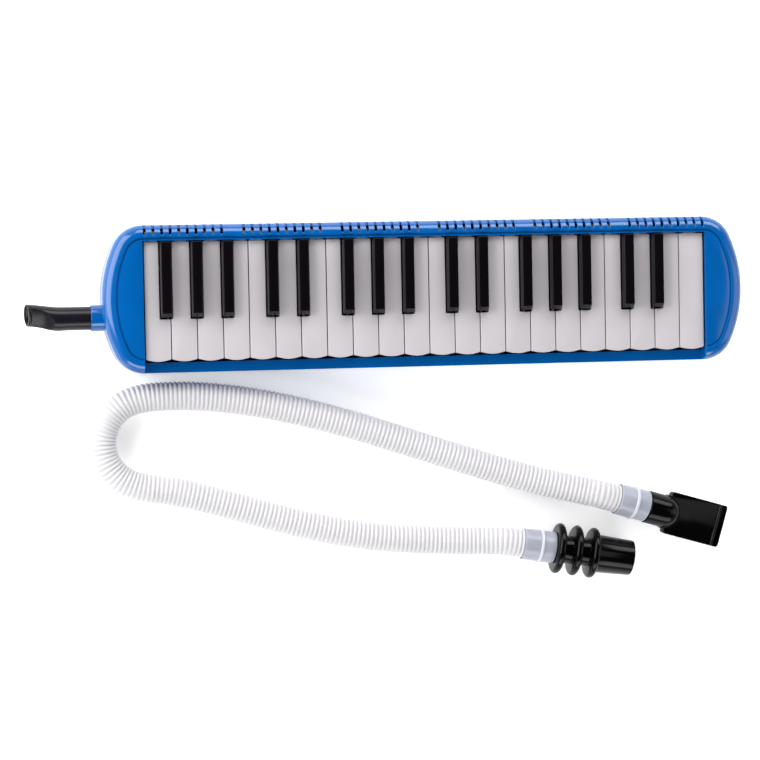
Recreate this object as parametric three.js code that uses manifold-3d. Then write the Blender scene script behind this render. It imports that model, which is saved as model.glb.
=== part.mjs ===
// A 37-key melodica: its short mouthpiece is plugged in, and its blowing hose lies in front of it.
// Millimetres. X runs along the keyboard to the high notes, Y to the vents at the back, Z up.
// The origin is the middle of the flat underside.
import * as THREE from "three";
import { mergeVertices } from "three/addons/utils/BufferGeometryUtils.js";
import Module from "manifold-3d";

const wasm = await Module();
wasm.setup();

// ---------------------------------------------------------------- driving dimensions

const AIR = 0.3; // gap kept between pieces that touch in the real instrument
const KEY_PITCH = 17;
const WHITE_COUNT = 22;
const HALF_KEYBOARD = (WHITE_COUNT * KEY_PITCH) / 2;

const CASE = {
  depth: 96,
  bulge: 27, // how far each end stands out past the keyboard
  endRadius: 85,
  wall: 2.2,
  parting: 16, // height of the joint between the two shells
  top: 36,
  topRound: 8,
  floorRound: 5,
};
const HALF_DEPTH = CASE.depth / 2;

const WINDOW = { x: HALF_KEYBOARD + 0.6, front: -41.3, back: 37.6 };
const RAIL_TOP = 24; // the low rail in front of the keys

const KEY = {
  front: -39.4,
  back: 36.9,
  tail: 43.5,
  bottom: 21.5,
  whiteTop: 33,
  blackTop: 40,
  tailTop: 30.5,
  skin: 1.6,
  gap: 0.6,
};
const BLACK = { width: 7.6, topWidth: 6.4, front: -12.1, slope: 2.6, air: 0.5 };
// How far each black key's middle lies from the joint between its two white keys.
const BLACK_OFFSET = { F: -3, G: 0, A: 3, C: -1.7, D: 1.5 };

const PIVOT = { y: 20, z: 22, radius: 1.25 };
const PAD = { front: 33.5, back: 43, bottom: 19.8, top: 21.8, width: 6.8 };

const NECK = { y: -11.5, z: CASE.parting, radius: 8.5, bore: 6.9, mouth: -220.8 };
const SCREW_SPOTS = [
  [-197, -37],
  [197, -37],
  [-197, 37],
  [197, 37],
];
const SCREW = { head: 2.8, shank: 1.4, headBottom: 3.2, headTop: 5.4, tip: 21 };

const HOSE = { radius: 9.75, steps: 44, sides: 10 };
const CUFF = { length: 22, radius: 10.6, bore: 6.4, ringRadius: 11.4, ringLength: 1.8 };

// ---------------------------------------------------------------- materials

const plastic = (color, roughness) => new THREE.MeshStandardMaterial({ color, roughness });
const metal = (color) => new THREE.MeshStandardMaterial({ color, roughness: 0.35, metalness: 1 });
const blue = plastic(0x1f78d2, 0.32);
const ivory = plastic(0xdedbe0, 0.28);
const black = plastic(0x121114, 0.2);
const darkPlastic = plastic(0x2a2c30, 0.5);
const white = plastic(0xf4f3f5, 0.45);
const frosted = plastic(0xb9bfd0, 0.4);
const felt = plastic(0x8c2f36, 0.95);
const rubber = plastic(0x3a3a3c, 0.85);
const steel = metal(0xb9bcc0);
const brass = metal(0xc7a35a);

// ---------------------------------------------------------------- solids

// Turns a closed three.js geometry into a solid that can be joined and cut.
function solid(geometry) {
  geometry.deleteAttribute("normal");
  geometry.deleteAttribute("uv");
  const merged = mergeVertices(geometry, 1e-4);
  return new wasm.Manifold(
    new wasm.Mesh({
      numProp: 3,
      vertProperties: merged.attributes.position.array,
      triVerts: new Uint32Array(merged.index.array),
    }),
  );
}

function geometryOf(body) {
  const mesh = body.getMesh();
  const geometry = new THREE.BufferGeometry();
  geometry.setAttribute("position", new THREE.BufferAttribute(mesh.vertProperties, 3));
  geometry.setIndex(new THREE.BufferAttribute(mesh.triVerts, 1));
  return geometry;
}

const join = (...bodies) => bodies.reduce((sum, body) => sum.add(body));
const cut = (body, ...tools) => body.subtract(join(...tools));

function box([x0, x1], [y0, y1], [z0, z1]) {
  const geometry = new THREE.BoxGeometry(x1 - x0, y1 - y0, z1 - z0);
  return solid(geometry.translate((x0 + x1) / 2, (y0 + y1) / 2, (z0 + z1) / 2));
}

function prism(shape, [z0, z1], curveSegments = 3) {
  const options = { depth: z1 - z0, bevelEnabled: false, curveSegments };
  return solid(new THREE.ExtrudeGeometry(shape, options).translate(0, 0, z0));
}

// A prism along X of an outline drawn in Y and Z.
function crossPrism(outline, [x0, x1]) {
  const shape = new THREE.Shape(outline.map(([y, z]) => new THREE.Vector2(y, z)));
  const geometry = new THREE.ExtrudeGeometry(shape, { depth: x1 - x0, bevelEnabled: false });
  return solid(geometry.rotateX(Math.PI / 2).rotateZ(Math.PI / 2).translate(x0, 0, 0));
}

function rodAlongX(radius, [x0, x1], y, z, sides = 12) {
  const geometry = new THREE.CylinderGeometry(radius, radius, x1 - x0, sides);
  return solid(geometry.rotateZ(Math.PI / 2).translate((x0 + x1) / 2, y, z));
}

function rodAlongZ(radius, [z0, z1], x, y, sides = 12) {
  const geometry = new THREE.CylinderGeometry(radius, radius, z1 - z0, sides);
  return solid(geometry.rotateX(Math.PI / 2).translate(x, y, (z0 + z1) / 2));
}

// A turned piece along X: its profile is a closed list of [x, radius] points, either way round.
function turned(profile, sides = 16) {
  const points = profile.map(([x, r]) => new THREE.Vector2(r, -x));
  if (THREE.ShapeUtils.area(points) < 0) points.reverse();
  return solid(new THREE.LatheGeometry([...points, points[0]], sides).rotateZ(Math.PI / 2));
}

// A skin through oval sections, closed by flat ends. Each section is
// { x, y, z, width, height, lean }: lean moves its top back and its bottom forward along X.
function loft(sections, sides = 16) {
  const positions = [];
  const faces = [];
  for (const s of sections)
    for (let i = 0; i < sides; i++) {
      const angle = (2 * Math.PI * i) / sides;
      const up = Math.sin(angle);
      const x = s.x + (s.lean ?? 0) * up;
      positions.push(x, s.y + (s.width / 2) * Math.cos(angle), s.z + (s.height / 2) * up);
    }
  const last = (sections.length - 1) * sides;
  for (let row = 0; row < last; row += sides)
    for (let i = 0; i < sides; i++) {
      const next = (i + 1) % sides;
      faces.push(row + i, row + next, row + sides + i);
      faces.push(row + next, row + sides + next, row + sides + i);
    }
  for (let i = 1; i < sides - 1; i++) {
    faces.push(0, i + 1, i);
    faces.push(last, last + i, last + i + 1);
  }
  const geometry = new THREE.BufferGeometry();
  geometry.setAttribute("position", new THREE.Float32BufferAttribute(positions, 3));
  geometry.setIndex(faces);
  return solid(geometry);
}

// A box whose top is smaller than its foot.
function tapered([x0, x1], [y0, y1], [z0, z1], topX, topFront) {
  const geometry = new THREE.BoxGeometry(x1 - x0, y1 - y0, z1 - z0);
  geometry.translate((x0 + x1) / 2, (y0 + y1) / 2, (z0 + z1) / 2);
  const position = geometry.attributes.position;
  for (let i = 0; i < position.count; i++) {
    if (position.getZ(i) < (z0 + z1) / 2) continue;
    position.setX(i, Math.sign(position.getX(i)) * topX);
    if (position.getY(i) < (y0 + y1) / 2) position.setY(i, topFront);
  }
  return solid(geometry);
}

const root = new THREE.Group();

function addPiece(name, body, material, parent = root) {
  const mesh = new THREE.Mesh(geometryOf(body), material);
  mesh.name = name;
  parent.add(mesh);
  return mesh;
}

// ---------------------------------------------------------------- case

// The case seen from above, drawn in by inset: straight sides, and ends of three tangent arcs.
function caseOutline(inset) {
  const { bulge, endRadius } = CASE;
  const cornerRadius =
    (endRadius ** 2 - (endRadius - bulge) ** 2 - HALF_DEPTH ** 2) / (2 * (endRadius - HALF_DEPTH));
  const cornerY = HALF_DEPTH - cornerRadius;
  const endX = HALF_KEYBOARD + bulge - endRadius;
  const turn = Math.atan2(cornerY, HALF_KEYBOARD - endX);
  const small = cornerRadius - inset;
  const large = endRadius - inset;
  const shape = new THREE.Shape();
  shape.moveTo(-HALF_KEYBOARD, inset - HALF_DEPTH);
  shape.absarc(HALF_KEYBOARD, -cornerY, small, -Math.PI / 2, -turn);
  shape.absarc(endX, 0, large, -turn, turn);
  shape.absarc(HALF_KEYBOARD, cornerY, small, turn, Math.PI / 2);
  shape.absarc(-HALF_KEYBOARD, cornerY, small, Math.PI / 2, Math.PI - turn);
  shape.absarc(-endX, 0, large, Math.PI - turn, Math.PI + turn);
  shape.absarc(-HALF_KEYBOARD, -cornerY, small, Math.PI + turn, 1.5 * Math.PI);
  return shape;
}

// The case's block with all its long edges rounded by round, between two heights.
function roundedBlock(inset, round, [z0, z1], bevelSegments) {
  const geometry = new THREE.ExtrudeGeometry(caseOutline(inset + round), {
    depth: z1 - z0 - 2 * round,
    bevelSize: round,
    bevelThickness: round,
    bevelSegments,
    curveSegments: 3,
  });
  return solid(geometry.translate(0, 0, z0 + round));
}

const above = (z) => box([-300, 300], [-80, 80], [z, 90]);
const below = (z) => box([-300, 300], [-80, 80], [-90, z]);
const neckHole = rodAlongX(NECK.radius + AIR, [-232, -198], NECK.y, NECK.z, 20);

const VENT = { groups: 6, perGroup: 10, pitch: 5.55, width: 1.6, front: 41, bottom: 26 };

function ventSlots() {
  const span = 2 * HALF_KEYBOARD - VENT.width - (VENT.perGroup - 1) * VENT.pitch;
  const groupPitch = span / (VENT.groups - 1);
  const slots = [];
  for (let group = 0; group < VENT.groups; group++)
    for (let i = 0; i < VENT.perGroup; i++) {
      const x = -HALF_KEYBOARD + group * groupPitch + i * VENT.pitch;
      slots.push(box([x, x + VENT.width], [VENT.front, 60], [VENT.bottom, 40]));
    }
  return join(...slots);
}

function topCover() {
  const { top, topRound, wall, parting } = CASE;
  const hidden = topRound + 2; // the block's lower rounding is cut away
  const block = cut(
    roundedBlock(0, topRound, [parting - hidden, top], 4),
    below(parting + AIR / 2),
  );
  const room = roundedBlock(wall, topRound - wall, [-20, top - wall], 2);
  const shell = cut(block, room);

  const railY = [wall - HALF_DEPTH - 0.5, WINDOW.front];
  const rail = box([-WINDOW.x - 1, WINDOW.x + 1], railY, [RAIL_TOP - wall, RAIL_TOP]);
  const ends = [-1, 1].map((side) => {
    const faces = [side * WINDOW.x, side * (WINDOW.x + 1.8)].sort((a, b) => a - b);
    return box(faces, [-HALF_DEPTH, HALF_DEPTH], [parting + 0.5, top - 1]).intersect(block);
  });
  const bosses = SCREW_SPOTS.map(([x, y]) => rodAlongZ(3.4, [12.4, top - 1.5], x, y));
  const joined = join(shell, rail, ...ends, ...bosses);

  const overFront = box([-WINDOW.x, WINDOW.x], [-60, WINDOW.front + 1], [RAIL_TOP, 60]);
  const window = box([-WINDOW.x, WINDOW.x], [WINDOW.front, WINDOW.back], [-10, 60]);
  const grooveOut = topRound + 0.2;
  const grooveIn = grooveOut + 1.2;
  const groove = cut(
    prism(caseOutline(grooveOut), [top - 1.3, top + 5]),
    prism(caseOutline(grooveIn), [top - 5, top + 9]),
  );
  const panels = prism(caseOutline(grooveIn + 1.4), [top - 0.5, top + 5]);
  const screwHoles = SCREW_SPOTS.map(([x, y]) =>
    rodAlongZ(SCREW.shank + AIR, [0, SCREW.tip + 1], x, y, 8),
  );
  const rodHole = rodAlongX(PIVOT.radius + AIR, [-190, 190], PIVOT.y, PIVOT.z, 8);
  return cut(
    joined,
    window,
    overFront,
    groove,
    panels,
    neckHole,
    rodHole,
    ventSlots(),
    ...screwHoles,
  );
}

const DRAIN = { x: 197, y: 20 };

function bottomCase() {
  const { floorRound, wall, parting } = CASE;
  const bossTop = 12;
  const block = cut(
    roundedBlock(0, floorRound, [0, parting + 20], 3),
    above(parting - AIR / 2),
  );
  const room = prism(caseOutline(wall), [wall, 60]);
  const bosses = SCREW_SPOTS.map(([x, y]) => rodAlongZ(4.2, [wall / 2, bossTop], x, y));
  const shell = join(cut(block, room), ...bosses);
  const holes = SCREW_SPOTS.flatMap(([x, y]) => [
    rodAlongZ(SCREW.head + AIR, [-1, SCREW.headTop + AIR], x, y),
    rodAlongZ(SCREW.shank + AIR, [0, bossTop + 1], x, y, 8),
  ]);
  const buttonHole = rodAlongZ(4.7, [-1, wall + 1], DRAIN.x, DRAIN.y, 16);
  return cut(shell, neckHole, buttonHole, ...holes);
}

function caseScrew() {
  const { head, shank, headBottom, headTop, tip } = SCREW;
  const body = join(
    rodAlongZ(head, [headBottom, headTop], 0, 0),
    rodAlongZ(shank, [headTop - 0.5, tip], 0, 0, 8),
  );
  const slot = [headBottom - 1, headBottom + 1];
  return cut(body, box([-1.9, 1.9], [-0.35, 0.35], slot), box([-0.35, 0.35], [-1.9, 1.9], slot));
}

addPiece("top_cover", topCover(), blue);
addPiece("bottom_case", bottomCase(), blue);
SCREW_SPOTS.forEach(([x, y], i) => {
  addPiece(`case_screw_${i + 1}`, caseScrew(), steel).position.set(x, y, 0);
});

// ---------------------------------------------------------------- air path

const CHAMBER = { floor: 2.6, wall: 2, top: 14, back: 45.2, front: 25, end: 187 };
const INLET_BOX = { x: [-204.5, -189.8], y: [-21, 31], top: 27 };
const LINK = { x: [-191, -172], y: [10, 31] };
const TRAP = { x: [172, 204], y: [10, 31] };

const shrink = ([a, b], by) => [a + by, b - by];

// The tray under the valves, the inlet box that the neck blows into, the passage between
// them, and the water trap, with a recess under its hole that the pushed drain button fills.
function reedChamber() {
  const { floor, wall, top, back, front, end } = CHAMBER;
  const inside = [floor + wall, top - wall];
  const outer = join(
    box([-end, end], [front, back], [floor, top]),
    box(INLET_BOX.x, INLET_BOX.y, [floor, INLET_BOX.top]),
    box(LINK.x, LINK.y, [floor, top]),
    box(TRAP.x, TRAP.y, [floor, top]),
  );
  return cut(
    outer,
    box([wall - end, end - wall], [front + wall, back - wall], [floor + wall, top + 1]),
    box(shrink(INLET_BOX.x, wall), shrink(INLET_BOX.y, wall), [floor + wall, INLET_BOX.top - wall]),
    box(shrink([LINK.x[0] - 4, LINK.x[1]], wall), shrink(LINK.y, wall), inside),
    box(shrink(TRAP.x, wall), shrink(TRAP.y, wall), inside),
    rodAlongX(NECK.radius + AIR, [INLET_BOX.x[0] - 1, INLET_BOX.x[0] + wall + 1], NECK.y, NECK.z, 20),
    rodAlongZ(3, [floor - 1, floor + wall + 1], DRAIN.x, DRAIN.y),
    rodAlongZ(4.7, [floor - 1, floor + 0.9], DRAIN.x, DRAIN.y, 16),
  );
}

function inletNeck() {
  const { radius, bore, mouth } = NECK;
  const inner = INLET_BOX.x[0] + 1.6;
  const flange = [-208.5, -206];
  return turned([
    [mouth, radius - 0.2],
    [mouth, radius - 0.45],
    [mouth + 1.6, radius - 0.45],
    [mouth + 1.6, bore],
    [inner, bore],
    [inner, radius],
    [flange[1], radius],
    [flange[1], radius + 1.4],
    [flange[0], radius + 1.4],
    [flange[0], radius],
    [mouth + 0.4, radius],
  ]);
}

const SLOT_X = 2.2; // half the width of an air slot

// Lays out the keyboard: one entry for each key, with the edges of its rear part.
function layOutKeys() {
  const keys = [];
  const letters = "FGABCDE";
  for (let i = 0; i < WHITE_COUNT; i++) {
    const letter = letters[i % 7];
    const octave = 3 + Math.floor((i + 3) / 7);
    const left = -HALF_KEYBOARD + i * KEY_PITCH;
    const right = left + KEY_PITCH;
    const before = BLACK_OFFSET[letters[(i + 6) % 7]];
    const after = BLACK_OFFSET[letter];
    const notch = BLACK.width / 2 + BLACK.air;
    const hasLeft = before !== undefined && i > 0;
    const hasRight = after !== undefined && i < WHITE_COUNT - 1;
    const rear = [
      hasLeft ? left + before + notch : left + KEY.gap / 2,
      hasRight ? right + after - notch : right - KEY.gap / 2,
    ];
    keys.push({
      name: `white_key_${letter}${octave}`,
      x: (left + right) / 2,
      rear,
      web: (rear[0] + rear[1]) / 2,
      hasLeft,
      hasRight,
    });
    if (hasRight) {
      const x = right + after;
      keys.push({ name: `black_key_${letter}s${octave}`, x, web: x, isBlack: true });
    }
  }
  return keys;
}
const KEYS = layOutKeys();

function slotsAt(halfWidth, y, z) {
  return join(...KEYS.map(({ web }) => box([web - halfWidth, web + halfWidth], y, z)));
}

const plateX = [-CHAMBER.end, CHAMBER.end];
const plateY = [CHAMBER.front, CHAMBER.back];
const gasket = [CHAMBER.top + AIR, CHAMBER.top + AIR + 0.6];
const reedPlate = [gasket[1] + AIR, gasket[1] + AIR + 1.2];
const valveBoard = [reedPlate[1] + AIR, PAD.bottom - AIR];

addPiece("reed_chamber", reedChamber(), darkPlastic);
addPiece("inlet_neck", inletNeck(), blue).position.set(0, NECK.y, NECK.z);
addPiece(
  "chamber_gasket",
  cut(
    box(plateX, plateY, gasket),
    box(shrink(plateX, 2), shrink(plateY, 2), shrink(gasket, -1)),
  ),
  rubber,
);
addPiece(
  "reed_plate",
  cut(box(plateX, plateY, reedPlate), slotsAt(1.2, [30, 41.5], shrink(reedPlate, -1))),
  brass,
);
addPiece(
  "valve_board",
  cut(box(plateX, plateY, valveBoard), slotsAt(SLOT_X, [35, 41.5], shrink(valveBoard, -1))),
  darkPlastic,
);

// The drain button: pushed up from below, its disc lifts off the hole in the water trap.
function drainButton() {
  const top = CHAMBER.floor + CHAMBER.wall;
  return join(
    rodAlongZ(4.2, [0.5, 1.7], 0, 0, 16),
    rodAlongZ(2.4, [1.2, top + 1], 0, 0, 8),
    rodAlongZ(4.4, [top + AIR, top + AIR + 1.3], 0, 0, 16),
  );
}

// Drawn as short as the pushed button makes it.
function drainSpring() {
  const turns = 2.5;
  const radius = 2.8;
  const height = [8.9, 11];
  class Coil extends THREE.Curve {
    getPoint(t, target = new THREE.Vector3()) {
      const angle = 2 * Math.PI * turns * t;
      const z = height[0] + (height[1] - height[0]) * t;
      return target.set(radius * Math.cos(angle), radius * Math.sin(angle), z);
    }
  }
  const wire = new THREE.Shape().absarc(0, 0, 0.28, 0, 2 * Math.PI);
  const options = { extrudePath: new Coil(), steps: 30, curveSegments: 3, bevelEnabled: false };
  return solid(new THREE.ExtrudeGeometry(wire, options));
}

addPiece("drain_button", drainButton(), black).position.set(DRAIN.x, DRAIN.y, 0);
addPiece("drain_spring", drainSpring(), steel).position.set(DRAIN.x, DRAIN.y, 0);

// ---------------------------------------------------------------- keys
// Each key is drawn about its pivot rod, and its mesh is placed on it.

const fromPivot = ([y0, y1]) => [y0 - PIVOT.y, y1 - PIVOT.y];
const heights = (z0, z1) => [z0 - PIVOT.z, z1 - PIVOT.z];

// The web, the tail with its pad, and the open notch that clips on the rod.
function withWorks(body, key, halfWidth) {
  const web = key.web - key.x;
  const works = join(
    body,
    box([web - 1.3, web + 1.3], fromPivot([2, 24.5]), heights(19, 31)),
    box([web - 1.3, web + 1.3], fromPivot([24, KEY.back - 1]), heights(PAD.top, 31)),
    box([web - 4, web + 4], fromPivot([33, KEY.tail]), heights(PAD.top - 0.1, KEY.tailTop)),
    box(
      [web - PAD.width / 2, web + PAD.width / 2],
      fromPivot([PAD.front, PAD.back]),
      heights(PAD.bottom, PAD.top),
    ),
  );
  const bore = PIVOT.radius + AIR;
  return cut(works, box([-halfWidth - 1, halfWidth + 1], [-bore, bore], [-9, bore]));
}

// A white key seen from above, its edges drawn in by inset.
function whiteOutline(key, inset) {
  const half = (KEY_PITCH - KEY.gap) / 2 - inset;
  const front = KEY.front + inset - PIVOT.y;
  const back = KEY.back - inset - PIVOT.y;
  const notch = BLACK.front - 1 - inset - PIVOT.y;
  const round = 1.4;
  const bow = 2.2;
  const left = key.rear[0] - key.x + inset;
  const right = key.rear[1] - key.x - inset;
  const shape = new THREE.Shape();
  shape.moveTo(-half, front + round);
  shape.quadraticCurveTo(-half, front, round - half, front);
  shape.quadraticCurveTo(0, front - bow, half - round, front);
  shape.quadraticCurveTo(half, front, half, front + round);
  if (key.hasRight) {
    shape.lineTo(half, notch);
    shape.lineTo(right, notch);
  }
  shape.lineTo(right, back);
  shape.lineTo(left, back);
  if (key.hasLeft) {
    shape.lineTo(left, notch);
    shape.lineTo(-half, notch);
  }
  return shape;
}

function whiteKey(key) {
  const block = prism(whiteOutline(key, 0), heights(KEY.bottom, KEY.whiteTop), 4);
  const pocket = prism(whiteOutline(key, KEY.skin), heights(0, KEY.whiteTop - 2.2), 1);
  return withWorks(cut(block, pocket), key, KEY_PITCH / 2);
}

function blackKey(key) {
  const half = BLACK.width / 2;
  const chin = KEY.whiteTop + 3;
  const long = fromPivot([BLACK.front, KEY.back]);
  const middle = half - 0.25;
  const block = join(
    box([-half, half], long, heights(KEY.bottom + 1, KEY.whiteTop)),
    tapered([-half, half], long, heights(KEY.whiteTop, chin), middle, long[0] + 0.4),
    tapered(
      [-middle, middle],
      [long[0] + 0.4, long[1]],
      heights(chin, KEY.blackTop),
      BLACK.topWidth / 2,
      long[0] + BLACK.slope,
    ),
  );
  const pocket = box(
    [KEY.skin - half, half - KEY.skin],
    shrink(long, KEY.skin + 0.4),
    heights(0, KEY.whiteTop + 1),
  );
  return withWorks(cut(block, pocket), key, half);
}

for (const key of KEYS) {
  const body = key.isBlack ? blackKey(key) : whiteKey(key);
  addPiece(key.name, body, key.isBlack ? black : ivory).position.set(key.x, PIVOT.y, PIVOT.z);
}

// ---------------------------------------------------------------- key works

addPiece("pivot_rod", rodAlongX(PIVOT.radius, [-189, 189], PIVOT.y, PIVOT.z, 8), steel);

// The frame screwed to the floor: a guide post in each key's pocket, the ledge that the felt
// strip lies on, and forks that carry the rod beside the webs of six white keys.
function keyFrame() {
  const floor = CHAMBER.floor;
  const plate = [floor, floor + 2];
  const end = HALF_KEYBOARD - 1;
  const forkX = 170;
  const posts = KEYS.map((key) => {
    const y = key.isBlack ? [-7.5, -5] : [-34.5, -32];
    return box([key.x - 1, key.x + 1], y, [floor + 1, 25]);
  });
  const carriers = KEYS.filter((key) => /white_key_[DG]/.test(key.name));
  const forks = carriers.map(({ web }) =>
    cut(
      box([web - 2.9, web - 1.75], [17, 23], [floor + 1, PIVOT.z + 0.5]),
      rodAlongX(PIVOT.radius + AIR, [web - 4, web], PIVOT.y, PIVOT.z, 8),
      box([web - 4, web], [PIVOT.y - 1.3, PIVOT.y + 1.3], [PIVOT.z, 30]),
    ),
  );
  const ties = [-168, -84, 0, 84, 168].map((x) => box([x - 2, x + 2], [-35, 12], plate));
  return join(
    box([-end, end], [-40, -31], plate),
    box([-end, end], [-40, -37.2], [floor, 13.9]),
    box([-end, end], [-9, -3.5], plate),
    box([-forkX, forkX], [11, 24], plate),
    ...ties,
    ...posts,
    ...forks,
  );
}

// One strip with a finger under each key, drawn as far down as the pushed key would put it.
function springComb() {
  const end = HALF_KEYBOARD - 2;
  const finger = [
    [6, 5],
    [6, 5.5],
    [-13, 15],
    [-13, 14.5],
  ];
  const fingers = KEYS.map(({ x }) => crossPrism(finger, [x + 1.6, x + 3.2]));
  return join(box([-end, end], [5, 9.4], [4.9, 5.5]), ...fingers);
}

addPiece("key_frame", keyFrame(), darkPlastic);
addPiece("spring_comb", springComb(), steel);
addPiece("stop_felt", box([-186, 186], [-40, -37.2], [14.2, 16.8]), felt);

// ---------------------------------------------------------------- short mouthpiece

function shortMouthpiece() {
  const oval = (x, y, width, height, lean = 0, z = 0) => ({ x, y, z, width, height, lean });
  const outer = loft([
    oval(-43, 2.6, 16.4, 8.6, 1.6, 0.4),
    oval(-42, 2.5, 16.4, 8.6, 1.6, 0.4),
    oval(-41, 2.4, 15, 7.4, 1.4, 0.4),
    oval(-34, 1.6, 15.4, 8.2, 0.6, 0.2),
    oval(-28, 0.5, 15.9, 10.6),
    oval(-22, 0, 15.9, 14.4),
    oval(-15, 0, 15.4, 15.4),
    oval(1.2, 0, 15.4, 15.4),
    oval(1.2, 0, 13.2, 13.2),
    oval(13, 0, 12.8, 12.8),
  ]);
  const inner = loft([
    oval(-46, 2.8, 14.6, 7, 1.6, 0.4),
    oval(-41, 2.4, 12.6, 5.6, 1.4, 0.4),
    oval(-28, 0.5, 12.6, 7.4),
    oval(-20, 0, 10.4, 10.4),
    oval(15, 0, 10.4, 10.4),
  ]);
  return cut(outer, inner);
}

addPiece("short_mouthpiece", shortMouthpiece(), black).position.set(NECK.mouth, NECK.y, NECK.z);

// ---------------------------------------------------------------- hose set
// Each fitting is drawn along its own X axis, from the face where its cuff meets the hose.

// The upper end carries the flat mouthpiece, the lower end the ringed connector.
const UPPER = { face: new THREE.Vector3(129, -140.6, 15.2), heading: -16.5, dip: 6.5 };
const LOWER = { face: new THREE.Vector3(63, -168.4, 17.2), heading: -9.5, dip: 0 };

// The hose's middle line between the two cuffs, from the upper end: out to the left, round a
// turn, and back. It rests on the floor except near the cuffs, which hold it up a little.
const RESTING = 9.9;
const OUTWARD = [
  [103, -133.8, 14.6],
  [76, -127, 11.4],
  [46, -118, RESTING],
  [16, -108.2, RESTING],
  [-14, -98, RESTING],
  [-44, -88, RESTING],
  [-76, -78.5, RESTING],
  [-107, -71, RESTING],
  [-137, -66, RESTING],
  [-164, -64, RESTING],
];
const TURN = { x: -186, y: -94, radius: 29, from: 96, to: 254, points: 7 };
const BACK = [
  [-171, -126, RESTING],
  [-144, -133, RESTING],
  [-118, -141, RESTING],
  [-91, -149, RESTING],
  [-61, -156.5, RESTING],
  [-31, -161.5, RESTING],
  [0, -164.2, 10.6],
  [26, -165.6, 13.2],
];

function turnPoint(i) {
  const { x, y, radius, from, to, points } = TURN;
  const angle = THREE.MathUtils.degToRad(from + ((to - from) * i) / (points - 1));
  return [x + radius * Math.cos(angle), y + radius * Math.sin(angle), RESTING];
}

function fittingFrame({ face, heading, dip }) {
  const frame = new THREE.Group();
  frame.position.copy(face);
  frame.rotation.order = "ZYX";
  frame.rotation.z = THREE.MathUtils.degToRad(heading);
  frame.rotation.y = THREE.MathUtils.degToRad(dip);
  frame.updateMatrix();
  root.add(frame);
  return frame;
}

function hoseTube(ends) {
  const lead = ends.map((frame) => {
    const at = (x) => new THREE.Vector3(x, 0, 0).applyMatrix4(frame.matrix);
    return [at(-AIR), at(-12)];
  });
  const turn = Array.from({ length: TURN.points }, (_, i) => turnPoint(i));
  const middle = [...OUTWARD, ...turn, ...BACK].map((point) => new THREE.Vector3(...point));
  const route = [...lead[0], ...middle, lead[1][1], lead[1][0]];
  const path = new THREE.CatmullRomCurve3(route, false, "centripetal");
  const section = new THREE.Shape();
  for (let i = 0; i < HOSE.sides; i++) {
    const angle = (2 * Math.PI * i) / HOSE.sides;
    const point = [HOSE.radius * Math.cos(angle), HOSE.radius * Math.sin(angle)];
    if (i === 0) section.moveTo(...point);
    else section.lineTo(...point);
  }
  const options = { extrudePath: path, steps: HOSE.steps, bevelEnabled: false };
  return solid(new THREE.ExtrudeGeometry(section, options));
}

function cuff() {
  const { length, radius, bore, ringRadius, ringLength } = CUFF;
  const ring = length * 0.52;
  return turned([
    [0, bore],
    [length, bore],
    [length, radius],
    [ring + ringLength, radius],
    [ring + ringLength, ringRadius],
    [ring, ringRadius],
    [ring, radius],
    [0, radius],
  ]);
}

const SPIGOT = { start: 8, radius: CUFF.bore - AIR };
const PAST_CUFF = CUFF.length + AIR;

function hoseConnector() {
  const ring = { radius: 17, length: 5, pitch: 11.8 };
  const barrel = 9.5;
  const profile = [
    [SPIGOT.start, 4.8],
    [SPIGOT.start, SPIGOT.radius],
    [PAST_CUFF, SPIGOT.radius],
  ];
  for (let i = 0; i < 3; i++) {
    const start = PAST_CUFF + i * ring.pitch;
    if (i > 0) profile.push([start, barrel]);
    profile.push([start, ring.radius - 1.2]);
    profile.push([start + 1.2, ring.radius]);
    profile.push([start + ring.length - 1.2, ring.radius]);
    profile.push([start + ring.length, ring.radius - 1.2]);
    if (i < 2) profile.push([start + ring.length, barrel]);
  }
  const lastRing = PAST_CUFF + 2 * ring.pitch + ring.length;
  const mouth = lastRing + 25;
  profile.push([lastRing, 12.9], [mouth, 11.8], [mouth, 10.2], [lastRing + 2, 9]);
  profile.push([lastRing - 6, 7], [SPIGOT.start + 4, 4.8]);
  return turned(profile);
}

function hoseMouthpiece() {
  const dome = { radius: 11, length: 25 };
  const blade = { start: 15.5, length: 42, width: 29, thick: 7 };
  const half = blade.width / 2;
  const root = PAST_CUFF + blade.start;
  const tip = root + blade.length;
  const domeProfile = [
    [SPIGOT.start, 0],
    [SPIGOT.start, SPIGOT.radius],
    [PAST_CUFF, SPIGOT.radius],
    [PAST_CUFF, dome.radius - 1],
    [PAST_CUFF + 1, dome.radius],
    [PAST_CUFF + dome.length - dome.radius, dome.radius],
  ];
  for (let i = 1; i <= 4; i++) {
    const angle = (Math.PI / 2) * (i / 4);
    const along = PAST_CUFF + dome.length - dome.radius * (1 - Math.sin(angle));
    domeProfile.push([along, dome.radius * Math.cos(angle)]);
  }
  const bead = [tip - 6.5, tip - 4.3];
  const body = join(
    turned(domeProfile),
    box([root, tip], [-half, half], [-blade.thick / 2, blade.thick / 2]),
    box(bead, [-half, half], [-blade.thick / 2 - 0.7, blade.thick / 2 + 0.7]),
  );
  return cut(
    body,
    rodAlongX(4.4, [SPIGOT.start - 1, root + 5], 0, 0, 10),
    box([root + 4, tip + 1], [2 - half, half - 2], [-1.4, 1.4]),
  );
}

const upperFrame = fittingFrame(UPPER);
const lowerFrame = fittingFrame(LOWER);
addPiece("hose_tube", hoseTube([upperFrame, lowerFrame]), white);
addPiece("hose_cuff_mouthpiece", cuff(), frosted, upperFrame);
addPiece("hose_mouthpiece", hoseMouthpiece(), black, upperFrame);
addPiece("hose_cuff_connector", cuff(), frosted, lowerFrame);
addPiece("hose_connector", hoseConnector(), black, lowerFrame);

export default root;
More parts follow.
